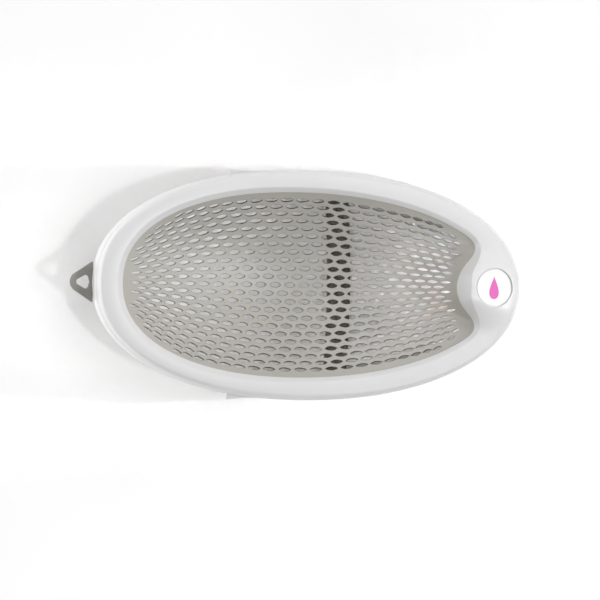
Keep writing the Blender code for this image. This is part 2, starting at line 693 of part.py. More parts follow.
def main():
    stations = [Station(2.0 * math.pi * i / STATIONS) for i in range(STATIONS)]
    rim = make_rim(stations)
    make_net(stations)
    make_clamp(stations, rim)
    make_badge(rim)
    legs = [make_leg("left_leg", 1), make_leg("right_leg", -1)]
    for side, side_name in ((1, "left"), (-1, "right")):
        for part, end_name in zip(PAD_PLACES, ("head", "foot")):
            make_foot_pad(f"foot_pad_{side_name}_{end_name}", part, side)
    make_beam(legs)
    make_loop()


clear_scene()
PARTS = fresh_collection("bath_support")
CUTTERS = fresh_collection("cutters")
main()
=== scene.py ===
"""Looks for the reclined bath support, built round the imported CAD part.

The CAD part's lines and outlines are repeated here, at a finer step, so the moulded rim gets its
rounded edges, the net its openings and the rubber parts their soft corners. The sizes under "what the
looks add" are this script's own, and a few of them differ from the CAD part's by up to 2 mm.
"""
import math

import bmesh
import bpy
from mathutils import Matrix, Vector
from mathutils.geometry import delaunay_2d_cdt


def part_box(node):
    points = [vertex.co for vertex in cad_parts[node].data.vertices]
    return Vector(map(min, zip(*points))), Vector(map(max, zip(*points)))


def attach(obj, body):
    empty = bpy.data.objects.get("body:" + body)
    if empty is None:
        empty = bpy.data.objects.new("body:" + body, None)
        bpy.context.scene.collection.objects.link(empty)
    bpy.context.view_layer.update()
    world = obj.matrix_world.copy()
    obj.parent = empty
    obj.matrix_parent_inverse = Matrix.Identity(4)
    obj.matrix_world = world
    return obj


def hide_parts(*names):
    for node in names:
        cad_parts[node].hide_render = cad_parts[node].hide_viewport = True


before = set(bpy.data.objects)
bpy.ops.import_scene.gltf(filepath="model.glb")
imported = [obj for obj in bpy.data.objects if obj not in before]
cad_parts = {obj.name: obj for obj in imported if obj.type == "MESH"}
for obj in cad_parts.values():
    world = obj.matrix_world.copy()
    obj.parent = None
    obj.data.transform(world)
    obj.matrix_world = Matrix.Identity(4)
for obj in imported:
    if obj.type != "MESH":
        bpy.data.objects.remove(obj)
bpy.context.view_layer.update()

# --- driving values, from the frame or as in the CAD part ----------------------------------------
RIM_LOW_CORNER, RIM_HIGH_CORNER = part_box("rim_frame")
BADGE_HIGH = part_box("badge_disc")[1]
BEAM_LOW, BEAM_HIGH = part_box("cross_beam")
STRIP_LOW, STRIP_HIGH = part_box("grip_strip")
PAD_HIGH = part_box("foot_pad_left_head")[1]
ANCHOR_LOW, ANCHOR_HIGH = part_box("loop_anchor")

CLEARANCE = 0.0003
OUTLINE_CENTRE = 0.0159
OUTLINE_REACH = 0.3165
OUTLINE_HALF_WIDTH = RIM_HIGH_CORNER.y
OUTLINE_POWERS = (2.18, 2.09)
NET_CENTRE = 0.0045
NET_REACHES = (0.2595, 0.2960)
NET_HALF_WIDTH = 0.1375
NET_POWERS = (2.24, 2.0)
NET_HUB = 0.0507
OVAL_SCALE = 0.23
RIM_LOW = 0.070
RIM_BEND_X = 0.0357
RIM_BEND_REACH = 0.120
RIM_HEAD_SLOPE = 0.42
RIM_FOOT_SLOPE = 0.10
WALL = 0.0028
LIP_WIDTH = 0.0070
LIP_DROP = 0.0080
LIP_HEAD_EXTRA = 0.0022
RAIL_WIDTH = 0.0110
RAIL_BACK = 0.0045
END_SHOULDER = 0.0036
END_SHOULDER_DROP = 0.0042
SIDE_SHOULDER = 0.0100
SIDE_SHOULDER_DROP = 0.0120
SKIRT_DROP = 0.0350
SKIRT_DRAFT = 0.0016
TOP_CAMBER = 0.0006
HUMP_X = 0.2362
HUMP_CURVE = 11.1
HUMP_HALF_WIDTH = 0.070
HUMP_START = 0.15
HUMP_GROWTH = 0.05
HUMP_HEIGHT = 0.028
HUMP_LIP_EXTRA = 0.0153
HUMP_EDGE_RAISE = 0.005
BOSS_HALF_WIDTH = 0.066
BOSS_FALL = 0.044
BOSS_CAMBER = 0.0008
BOSS_SKIN = 1.6
TIP_ROUNDING = 0.027
NET_THICKNESS = 0.0024
NET_SAG = 0.055
NET_FLANGE = 0.0052
RISER_SLOPE = 1.35
CLAMP_SETBACK = 0.0012
CLAMP_DEPTH = 0.0055
BADGE_RADIUS = BADGE_HIGH.y
BADGE_THICKNESS = 0.0014
BADGE_RECESS = 0.0048
LEG_HEAD_X = -0.1038
LEG_FOOT_X = 0.2577
LEG_RAKE = 0.022
LEG_CROWDING = 1.3
LEG_TONGUE_TOP = 0.0200
LEG_TONGUE_TAPER = 0.0008
LEG_HOLLOW = 0.3
LEG_HOLLOW_PART = 0.25
LEG_INSET = 0.0060
LEG_FLARE = 0.0095
FLARE_LENGTH = 0.055
FOOT_FLANGE = 0.030
PAD_HEIGHT = PAD_HIGH.z + CLEARANCE
BEAM_BOW = 0.0060
BEAM_WALL = 0.0022
LOOP_WIDTH = 0.0590
LOOP_LENGTH = 0.0362
LOOP_THICKNESS = 0.0040
LOOP_TIP_RADIUS = 0.0149
LOOP_ROOT = 0.0038
LOOP_HOLE_RADIUS = 0.0046
LOOP_HOLE_TIP = 0.0224
LOOP_HOLE_BASE = 0.0108
LOOP_HOLE_HALF = 0.0052
LOOP_NOSE_RADIUS = 0.0016

# --- what the looks add ------------------------------------------------------------------------
RIM_STATIONS = 400
LIP_ROUND = 0.0008        # radius of the lip's edge over the net
CREST_ROUND = 0.0010      # radius of the lip's crest
SKIRT_ROUND = 0.0007
GROOVE_DROP = 0.0165      # a fine line moulded round the outer wall
GROOVE_HALF = 0.0009
GROOVE_DEPTH = 0.0011

# The ROW_ coefficients are a least-squares fit to where the openings lie, rounded.
ROWS_EACH_SIDE = 11       # rows of openings on each side of the net's centre line
OPENINGS_EACH_SIDE = 11   # openings each way from the middle one, in the middle row
ROW_MIDDLE = (-0.0133, 0.2356, -0.0120)        # x along the middle row: constant, linear, cubic
ROW_SPREAD = (0.0386, 0.0467, -0.0338)         # what an outer row adds, by its square
ROW_RELAX = (-0.0086, -0.0252)                 # and by its fourth power
ROW_WIDTH = (0.1390, -0.0129)                  # y of a row, linear and cubic
ROW_WIDEST_X = 0.0012
ROW_HEAD_REACH = 0.329
ROW_HEAD_POWER = 2.52
ROW_FOOT_TURN = 4.42
ROW_FOOT_RELAX = 0.30
OPENING_ALONG = 0.388     # an opening's half length, as a share of the pitch along its row
ALONG_FOOT_EXTRA = 0.065  # what the share gains towards the foot end, and towards the head end
ALONG_HEAD_EXTRA = 0.045
OPENING_ACROSS = 0.325    # its half width, as a share of the pitch between rows
ACROSS_FOOT_LOSS = 0.03
ACROSS_HEAD_EXTRA = 0.015
OPENING_POWER = 1.75      # how full its outline is: 2 is an ellipse, 1 a rhombus
POWER_END_LOSS = 0.35
NET_MARGIN_SIDE = 0.0035  # openings stop this far inside the border, and their middles this far
NET_MARGIN_CENTRE = 0.0070
NET_GRID = 0.0045
OPENING_POINTS = 24
OPENING_ROUND = 0.0005
NET_GRID_MARGIN = 0.0015  # the mesh's own grid stops this far inside the border
GRID_REACHES = (0.0125, 0.0075)   # and this far from an opening's middle, along and across
CELL = 0.02               # cell size for finding the openings near a point
WALL_STEPS = 5            # steps down an opening's wall
CREASE_BLEND = 0.0035     # tighter than the CAD part's, for a crisper crease
LIP_FACE = 0.0013
BADGE_CENTRE_X = 0.2912
BADGE_MARGIN = 0.0021     # the recess is this much wider than the disc
BADGE_BEVEL = 0.0013
MARK_RISE = 0.00012
DROP_HALF_WIDTH = 0.0088
DROP_HALF_LENGTH = 0.0170
LOOP_EDGE = 0.0009
LOOP_CORNER_RADIUS = 0.0011
LOOP_HOLE_BULGE = 0.0022
LOOP_NECK = 0.0014
ANCHOR_FOOT = 0.0185
ANCHOR_WEB = (0.0052, 0.0062)
ANCHOR_BEND = 0.0130
ANCHOR_ROOF_GAPS = (0.0165, 0.0072, 0.0052)
LEG_SECTIONS = 61
BEAM_X = BEAM_HIGH.x - 0.020
BEAM_WIDTH = 0.040
RIB_RISE = 0.0040
RUBBER_RIBS = 3
RIB_ROOT = 0.0015
RIB_TIP = 0.0008
PAD_CORNER = 0.003
PAD_GROOVES = 5
PAD_GROOVE_PITCH = 0.36   # as a share of the pad's half length
PAD_GROOVE_WIDTH = 0.0014
PAD_GROOVE_BLOCK = 0.0016  # height of the block that cuts a groove; half of it is below the sole
SCREW_TIP_SPAN = 0.0035   # a CAD screw's points this near its far end are its tip
SCREW_HEAD_SPAN = 0.0065  # and those this near its other end are its head
SCREW_HEAD_SHARE = 0.6    # head height and the cross recess, as shares of the head's radius
CROSS_ARM_SHARE = 0.65
CROSS_HALF_SHARE = 0.13
LIGHT_REACH = 3.0
CAMERA_X = 0.0030         # the camera looks straight down
CAMERA_Y = -0.0223
CAMERA_HEIGHT = 4.0
CAMERA_LENS = 157.4
CAMERA_TURN = math.radians(0.8)

# --- helpers -----------------------------------------------------------------------------------
def smooth_step(t):
    t = min(max(t, 0.0), 1.0)
    return t * t * (3.0 - 2.0 * t)


def smooth_max(a, b, blend):
    overlap = max(blend - abs(a - b), 0.0) / blend
    return max(a, b) + overlap * overlap * blend / 4.0


def add_piece(name, mesh, material, body="seat", sharp=40.0):
    """Make a shown piece of a bmesh or a mesh, riding on a CAD body."""
    if isinstance(mesh, bmesh.types.BMesh):
        data = bpy.data.meshes.new(name)
        bmesh.ops.recalc_face_normals(mesh, faces=mesh.faces)
        mesh.to_mesh(data)
        mesh.free()
        data.shade_smooth()
        data.set_sharp_from_angle(angle=math.radians(sharp))
    else:
        data = mesh
    data.materials.append(material)
    piece = bpy.data.objects.new(name, data)
    bpy.context.scene.collection.objects.link(piece)
    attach(piece, body)
    return piece


def loft(loops, closed=False, mesh=None):
    """Skin a row of closed loops. An open row gets a cap at each end, a closed one meets itself."""
    mesh = mesh or bmesh.new()
    rows = [[mesh.verts.new(point) for point in loop] for loop in loops]
    following = rows[1:] + rows[:1] if closed else rows[1:]
    for near, far in zip(rows, following):
        for i in range(len(near)):
            j = (i + 1) % len(near)
            mesh.faces.new((near[i], near[j], far[j], far[i]))
    if not closed:
        mesh.faces.new(rows[0])
        mesh.faces.new(rows[-1])
    return mesh


def rounded(corners, steps=3):
    """Round a closed row of (point, reach) corners: reach is how far the rounding goes along each side."""
    points = []
    count = len(corners)
    for i, (corner, reach) in enumerate(corners):
        if reach <= 0.0:
            points.append(corner)
            continue
        before = corners[i - 1][0] - corner
        after = corners[(i + 1) % count][0] - corner
        start = corner + before.normalized() * min(reach, 0.48 * before.length)
        end = corner + after.normalized() * min(reach, 0.48 * after.length)
        for step in range(steps + 1):
            t = step / steps
            points.append(start * (1.0 - t) ** 2 + corner * (2.0 * t * (1.0 - t)) + end * t * t)
    return points


def turned(profile, place, axis, sides=48, mesh=None):
    """A closed turned shape: profile is (radius, height) from the axis back to the axis."""
    mesh = mesh or bmesh.new()
    turn = axis.to_track_quat("Z", "Y").to_matrix()
    rings = []
    for radius, height in profile:
        if radius <= 0.0:
            rings.append([mesh.verts.new(place + turn @ Vector((0.0, 0.0, height)))])
            continue
        ring = []
        for i in range(sides):
            bearing = 2.0 * math.pi * i / sides
            spot = Vector((radius * math.cos(bearing), radius * math.sin(bearing), height))
            ring.append(mesh.verts.new(place + turn @ spot))
        rings.append(ring)
    for near, far in zip(rings, rings[1:]):
        for i in range(sides):
            j = (i + 1) % sides
            if len(near) == 1:
                mesh.faces.new((near[0], far[i], far[j]))
            elif len(far) == 1:
                mesh.faces.new((near[i], near[j], far[0]))
            else:
                mesh.faces.new((near[i], near[j], far[j], far[i]))
    return mesh


def boolean(piece, cutter_mesh):
    """Cut a bmesh out of a piece for good."""
    data = bpy.data.meshes.new("cutter")
    bmesh.ops.recalc_face_normals(cutter_mesh, faces=cutter_mesh.faces)
    cutter_mesh.to_mesh(data)
    cutter_mesh.free()
    cutter = bpy.data.objects.new("cutter", data)
    bpy.context.scene.collection.objects.link(cutter)
    modifier = piece.modifiers.new("cut", "BOOLEAN")
    modifier.operation = "DIFFERENCE"
    modifier.object = cutter
    bpy.context.view_layer.update()
    evaluated = piece.evaluated_get(bpy.context.evaluated_depsgraph_get())
    result = bpy.data.meshes.new_from_object(evaluated)
    piece.modifiers.clear()
    piece.data = result
    bpy.data.objects.remove(cutter)
    bpy.data.meshes.remove(data)
    return result


# --- materials ---------------------------------------------------------------------------------
def surface(name, colour, roughness, spread=0.05, grain=900.0, relief=0.00003, tint=0.03, cloud=14.0):
    """A moulded surface: fine grain in relief, and slow changes of roughness and of tone."""
    material = bpy.data.materials.new(name)
    material.use_nodes = True
    nodes, links = material.node_tree.nodes, material.node_tree.links
    shader = nodes["Principled BSDF"]
    place = nodes.new("ShaderNodeTexCoord")
    clouds = nodes.new("ShaderNodeTexNoise")
    clouds.inputs["Scale"].default_value = cloud
    clouds.inputs["Detail"].default_value = 4.0
    links.new(place.outputs["Object"], clouds.inputs["Vector"])
    level = nodes.new("ShaderNodeMapRange")
    level.inputs["To Min"].default_value = roughness - spread
    level.inputs["To Max"].default_value = roughness + spread
    links.new(clouds.outputs["Fac"], level.inputs["Value"])
    links.new(level.outputs["Result"], shader.inputs["Roughness"])
    tones = nodes.new("ShaderNodeMix")
    tones.data_type = "RGBA"
    tones.inputs["A"].default_value = [part * (1.0 - tint) for part in colour] + [1.0]
    tones.inputs["B"].default_value = [min(part * (1.0 + tint), 1.0) for part in colour] + [1.0]
    links.new(clouds.outputs["Fac"], tones.inputs["Factor"])
    links.new(tones.outputs["Result"], shader.inputs["Base Color"])
    grains = nodes.new("ShaderNodeTexNoise")
    grains.inputs["Scale"].default_value = grain
    grains.inputs["Detail"].default_value = 2.0
    links.new(place.outputs["Object"], grains.inputs["Vector"])
    bump = nodes.new("ShaderNodeBump")
    bump.inputs["Strength"].default_value = 1.0
    bump.inputs["Distance"].default_value = relief
    links.new(grains.outputs["Fac"], bump.inputs["Height"])
    links.new(bump.outputs["Normal"], shader.inputs["Normal"])
    return material


WHITE = surface("white_plastic", (0.80, 0.80, 0.80), 0.34, relief=0.000012, tint=0.012)
BADGE = surface("badge_plastic", (0.86, 0.86, 0.86), 0.22, relief=0.000006, tint=0.01)
NET = surface("net_elastomer", (0.475, 0.46, 0.42), 0.42, relief=0.00003, grain=700.0, tint=0.04)
RUBBER = surface("dark_rubber", (0.270, 0.260, 0.240), 0.58, relief=0.00004, grain=600.0, tint=0.06)
STEEL = surface("screw_steel", (0.56, 0.57, 0.58), 0.30, relief=0.00001, grain=1500.0, tint=0.04)
STEEL.node_tree.nodes["Principled BSDF"].inputs["Metallic"].default_value = 1.0
PINK = surface("print_pink", (0.72, 0.03, 0.42), 0.30, relief=0.000004, tint=0.02)


# --- the rim's line and outline, as in the CAD part ---------------------------------------------
def rim_line(x):
    t = x - RIM_BEND_X
    bend = math.hypot(t, RIM_BEND_REACH)
    return RIM_LOW + 0.5 * RIM_HEAD_SLOPE * (bend - t) + 0.5 * RIM_FOOT_SLOPE * (bend + t)


def rim_up(x):
    t = x - RIM_BEND_X
    lean = t / math.hypot(t, RIM_BEND_REACH)
    slope = 0.5 * RIM_HEAD_SLOPE * (lean - 1.0) + 0.5 * RIM_FOOT_SLOPE * (lean + 1.0)
    return Vector((-slope, 0.0, 1.0)).normalized()


def above_rim(x, y, rise):
    return Vector((x, y, rim_line(x))) + rim_up(x) * rise


def outline(angle):
    c, s = math.cos(angle), math.sin(angle)
    power = OUTLINE_POWERS[1] if c > 0.0 else OUTLINE_POWERS[0]
    x = OUTLINE_CENTRE + OUTLINE_REACH * math.copysign(abs(c) ** (2.0 / power), c)
    y = OUTLINE_HALF_WIDTH * math.copysign(abs(s) ** (2.0 / power), s)
    return Vector((x, y, 0.0))


def outline_normal(angle):
    along = outline(angle + 0.002) - outline(angle - 0.002)
    return Vector((along.y, -along.x, 0.0)).normalized()


def oval(x, y):
    side = 1 if x > NET_CENTRE else 0
    power = NET_POWERS[side]
    along = abs((x - NET_CENTRE) / NET_REACHES[side]) ** power
    return (along + abs(y / NET_HALF_WIDTH) ** power) ** (1.0 / power)


def hump_distance(x, y):
    return (x - HUMP_X - HUMP_CURVE * y * y) / math.hypot(1.0, 2.0 * HUMP_CURVE * y)


def net_field(x, y):
    return smooth_max((oval(x, y) - 1.0) * OVAL_SCALE, hump_distance(x, y), TIP_ROUNDING)


def net_border(direction):
    near, far = 0.0, 0.45
    for _ in range(40):
        middle = 0.5 * (near + far)
        inside = net_field(NET_HUB + direction.x * middle, direction.y * middle) < 0.0
        near, far = (middle, far) if inside else (near, middle)
    x, y = NET_HUB + direction.x * near, direction.y * near
    step = 1e-4
    normal = Vector((net_field(x + step, y) - net_field(x - step, y),
                     net_field(x, y + step) - net_field(x, y - step), 0.0))
    return Vector((x, y, 0.0)), normal.normalized()


class Station:
    def __init__(self, angle):
        self.skirt = outline(angle)
        self.outward = outline_normal(angle)
        direction = (self.skirt - Vector((NET_HUB, 0.0, 0.0))).normalized()
        self.edge, self.normal = net_border(direction)
        near_foot = smooth_step((self.edge.x - HUMP_START) / HUMP_GROWTH)
        self.hump = near_foot * smooth_step(1.0 - abs(self.edge.y) / HUMP_HALF_WIDTH)
        self.boss = near_foot * smooth_step((BOSS_HALF_WIDTH - abs(self.edge.y)) / BOSS_FALL)
        self.head = max(0.0, -math.cos(angle))
        self.lip_width = LIP_WIDTH + HUMP_LIP_EXTRA * self.hump + LIP_HEAD_EXTRA * self.head
        self.edge_rise = HUMP_EDGE_RAISE * self.hump - LIP_DROP
        self.crest_rise = HUMP_HEIGHT * self.boss
        side = math.sin(angle) ** 2
        self.shoulder = END_SHOULDER + (SIDE_SHOULDER - END_SHOULDER) * side
        self.shoulder_drop = END_SHOULDER_DROP + (SIDE_SHOULDER_DROP - END_SHOULDER_DROP) * side

    def from_edge(self, out, rise):
        place = self.edge + self.normal * out
        shifted = place.x - rim_up(place.x).x * self.edge_rise
        return above_rim(shifted, place.y, rise)

    def from_skirt(self, out, rise):
        top = self.skirt + self.outward * out
        shifted = top.x + rim_up(top.x).x * SKIRT_DROP
        return above_rim(shifted, top.y, rise)


def top_point(station, part):
    start = station.from_edge(station.lip_width, station.crest_rise)
    finish = station.from_skirt(-station.shoulder - SKIRT_DRAFT, 0.0)
    camber = (TOP_CAMBER + BOSS_CAMBER * station.boss) * math.sin(math.pi * part)
    return start.lerp(finish, part) + Vector((0.0, 0.0, camber))


def shoulder_point(station, bearing, inset):
    out = (station.shoulder - inset) * (1.0 - math.sin(bearing)) + SKIRT_DRAFT + inset
    drop = (station.shoulder_drop - inset) * (1.0 - math.cos(bearing))
    return station.from_skirt(-out, -drop - inset * (math.cos(bearing) + math.sin(bearing) ** 2))


# --- the rim -----------------------------------------------------------------------------------
def wall_point(station, rise, depth=0.0):
    """A point on the outer wall below the shoulder, sunk by a depth."""
    share = (SKIRT_DROP + rise) / (SKIRT_DROP - station.shoulder_drop)
    return station.from_skirt(-SKIRT_DRAFT * share - depth, rise)


def rim_profile(station):
    """The rim's section with its edges rounded, as (point, reach of the rounding)."""
    crest = station.crest_rise
    skin = WALL * (1.0 + BOSS_SKIN * station.boss)
    corners = [(station.from_edge(0.0, station.edge_rise), 0.0003),
               (station.from_edge(0.0, station.edge_rise + LIP_FACE), LIP_ROUND),
               (top_point(station, 0.0), CREST_ROUND)]
    corners += [(top_point(station, part), 0.0) for part in (0.12, 0.25, 0.4, 0.55, 0.7, 0.85)]
    corners += [(shoulder_point(station, math.radians(10.0 * i), 0.0), 0.0) for i in range(10)]
    corners += [(wall_point(station, -GROOVE_DROP + GROOVE_HALF), 0.0),
                (wall_point(station, -GROOVE_DROP + 0.4 * GROOVE_HALF, GROOVE_DEPTH), 0.0),
                (wall_point(station, -GROOVE_DROP - 0.4 * GROOVE_HALF, GROOVE_DEPTH), 0.0),
                (wall_point(station, -GROOVE_DROP - GROOVE_HALF), 0.0),
                (station.from_skirt(0.0, -SKIRT_DROP), SKIRT_ROUND),
                (station.from_skirt(-WALL, -SKIRT_DROP), SKIRT_ROUND)]
    corners += [(shoulder_point(station, math.radians(bearing), WALL), 0.0) for bearing in (90, 60, 40, 20)]
    below = Vector((0.0, 0.0, skin))
    corners += [(top_point(station, part) - below, 0.0) for part in (1.0, 0.75, 0.5, 0.25)]
    corners += [(station.from_edge(station.lip_width + RAIL_BACK, crest - skin), 0.0012),
                (station.from_edge(RAIL_WIDTH, station.edge_rise), 0.0008)]
    return rounded(corners)


def badge_frame():
    """The badge's place on the rim's top, and the way it faces."""
    middle = Station(0.0)
    crest, shoulder = top_point(middle, 0.0), top_point(middle, 1.0)
    along = (shoulder - crest).normalized()
    axis = Vector((-along.z, 0.0, along.x))
    return top_point(middle, (BADGE_CENTRE_X - crest.x) / (shoulder.x - crest.x)), axis


def make_rim(stations):
    rim = add_piece("rim", loft([rim_profile(s) for s in stations], closed=True), WHITE)
    face, axis = badge_frame()
    radius = BADGE_RADIUS + BADGE_MARGIN
    bevel = BADGE_BEVEL
    profile = [(0.0, -BADGE_RECESS), (radius - 0.0004, -BADGE_RECESS), (radius, -BADGE_RECESS + 0.0004),
               (radius, -bevel), (radius + 0.35 * bevel, -0.35 * bevel), (radius + bevel, 0.0),
               (radius + 1.6 * bevel, 0.3 * bevel), (radius + 1.6 * bevel, 0.02), (0.0, 0.02)]
    mesh = boolean(rim, turned(profile, face, axis, 96))
    mesh.shade_smooth()
    mesh.set_sharp_from_angle(angle=math.radians(38))
    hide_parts("rim_frame")


def make_badge():
    face, axis = badge_frame()
    base = CLEARANCE - BADGE_RECESS
    top = base + BADGE_THICKNESS
    edge = 0.0004
    profile = [(0.0, base), (BADGE_RADIUS - 0.0002, base), (BADGE_RADIUS, base + 0.0002),
               (BADGE_RADIUS, top - edge), (BADGE_RADIUS - 0.3 * edge, top - 0.3 * edge),
               (BADGE_RADIUS - edge, top), (BADGE_RADIUS - 1.5 * edge, top), (0.0, top)]
    disc = add_piece("badge", turned(profile, face, axis, 96), BADGE)
    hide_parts("badge_disc")
    across = Vector((0.0, 1.0, 0.0))
    along = across.cross(axis).normalized()
    drop = []
    for i in range(64):
        bearing = 2.0 * math.pi * i / 64
        pinch = math.sin(0.5 * bearing) ** 1.6
        wide = DROP_HALF_WIDTH * math.sin(bearing) * pinch * 1.25
        drop.append((wide, DROP_HALF_LENGTH * math.cos(bearing)))
    low = [face + along * u + across * v + axis * (top - 0.0001) for u, v in drop]
    high = [face + along * u + across * v + axis * (top + MARK_RISE) for u, v in drop]
    marks = loft([low, high])
    piece = add_piece("badge_mark", marks, PINK)


# --- the net -----------------------------------------------------------------------------------
def net_height(x, y):
    line = rim_line(x) - LIP_DROP
    bowl = line - NET_SAG * (1.0 - oval(x, y) ** 2)
    weight = smooth_step(1.0 - abs(y) / HUMP_HALF_WIDTH)
    riser = line + HUMP_EDGE_RAISE * weight + RISER_SLOPE * hump_distance(x, y)
    return smooth_max(bowl, riser, CREASE_BLEND)


class NetSurface:
    """The net's upper surface, lifted towards its border so that it meets the lip all round."""

    def __init__(self, stations):
        self.edges = [s.from_edge(0.0, s.edge_rise - CLEARANCE) for s in stations]
        self.turns = [math.atan2(e.y, e.x - NET_HUB) % (2.0 * math.pi) for e in self.edges]
        self.turns[0] = 0.0
        self.reaches = [math.hypot(e.x - NET_HUB, e.y) for e in self.edges]
        self.lifts = [e.z - net_height(e.x, e.y) for e in self.edges]

    def along_border(self, turn):
        """Distance to the border and the lift there, in a direction."""
        low, high = 0, len(self.turns)
        while high - low > 1:
            middle = (low + high) // 2
            low, high = (middle, high) if self.turns[middle] <= turn else (low, middle)
        nxt = (low + 1) % len(self.turns)
        end = self.turns[nxt] if nxt else 2.0 * math.pi
        t = (turn - self.turns[low]) / max(end - self.turns[low], 1e-9)
        reach = self.reaches[low] * (1.0 - t) + self.reaches[nxt] * t
        return reach, self.lifts[low] * (1.0 - t) + self.lifts[nxt] * t

    def height(self, x, y):
        turn = math.atan2(y, x - NET_HUB) % (2.0 * math.pi)
        reach, lift = self.along_border(turn)
        part = min(math.hypot(x - NET_HUB, y) / reach, 1.0)
        return net_height(x, y) + lift * part ** 4

    def point(self, x, y):
        return Vector((x, y, self.height(x, y)))

    def normal(self, x, y, step=0.0006):
        run_x = (self.height(x + step, y) - self.height(x - step, y)) / (2.0 * step)
        run_y = (self.height(x, y + step) - self.height(x, y - step)) / (2.0 * step)
        return Vector((-run_x, -run_y, 1.0)).normalized()


def opening_centre(place, row):
    """Where an opening lies: place counts along the row from its middle, row across the net."""
    k = place / OPENINGS_EACH_SIDE
    r = row / ROWS_EACH_SIDE
    x = ROW_MIDDLE[0] + ROW_MIDDLE[1] * k + ROW_MIDDLE[2] * k ** 3
    x += r * r * (ROW_SPREAD[0] + ROW_SPREAD[1] * k + ROW_SPREAD[2] * k ** 3)
    x += r ** 4 * (ROW_RELAX[0] + ROW_RELAX[1] * k)
    head = max(ROW_WIDEST_X - x, 0.0) / ROW_HEAD_REACH
    turn = math.cos(ROW_FOOT_TURN * max(x - ROW_WIDEST_X, 0.0))
    narrowing = 1.0 - head ** ROW_HEAD_POWER - (1.0 - turn) * (1.0 - ROW_FOOT_RELAX * r * r)
    return Vector((x, (ROW_WIDTH[0] * r + ROW_WIDTH[1] * r ** 3) * narrowing))


def openings():
    """The outlines of all openings, as (centre, points)."""
    found = []
    for row in range(-ROWS_EACH_SIDE, ROWS_EACH_SIDE + 1):
        for i in range(-OPENINGS_EACH_SIDE - 1, OPENINGS_EACH_SIDE + 1):
            place = i + 0.5 if row % 2 else float(i)
            centre = opening_centre(place, row)
            along = opening_centre(place + 0.5, row) - opening_centre(place - 0.5, row)
            across = (opening_centre(place, row + 1.0) - opening_centre(place, row - 1.0)) * 0.5
            foot = smooth_step((centre.x - 0.02) / 0.16)
            head = smooth_step((-0.03 - centre.x) / 0.20)
            half_along = along * (OPENING_ALONG + ALONG_FOOT_EXTRA * foot + ALONG_HEAD_EXTRA * head)
            half_across = across * (OPENING_ACROSS - ACROSS_FOOT_LOSS * foot + ACROSS_HEAD_EXTRA * head)
            power = OPENING_POWER - POWER_END_LOSS * max(foot, head)
            points = []
            for step in range(OPENING_POINTS):
                bearing = 2.0 * math.pi * step / OPENING_POINTS
                c, s = math.cos(bearing), math.sin(bearing)
                u = math.copysign(abs(c) ** (2.0 / power), c)
                v = math.copysign(abs(s) ** (2.0 / power), s)
                points.append(centre + half_along * u + half_across * v)
            ends = [centre + half_along, centre - half_along, centre + half_across, centre - half_across]
            clear = all(net_field(p.x, p.y) < -NET_MARGIN_SIDE for p in ends)
            if clear and net_field(centre.x, centre.y) < -NET_MARGIN_CENTRE:
                found.append((centre, points))
    return found


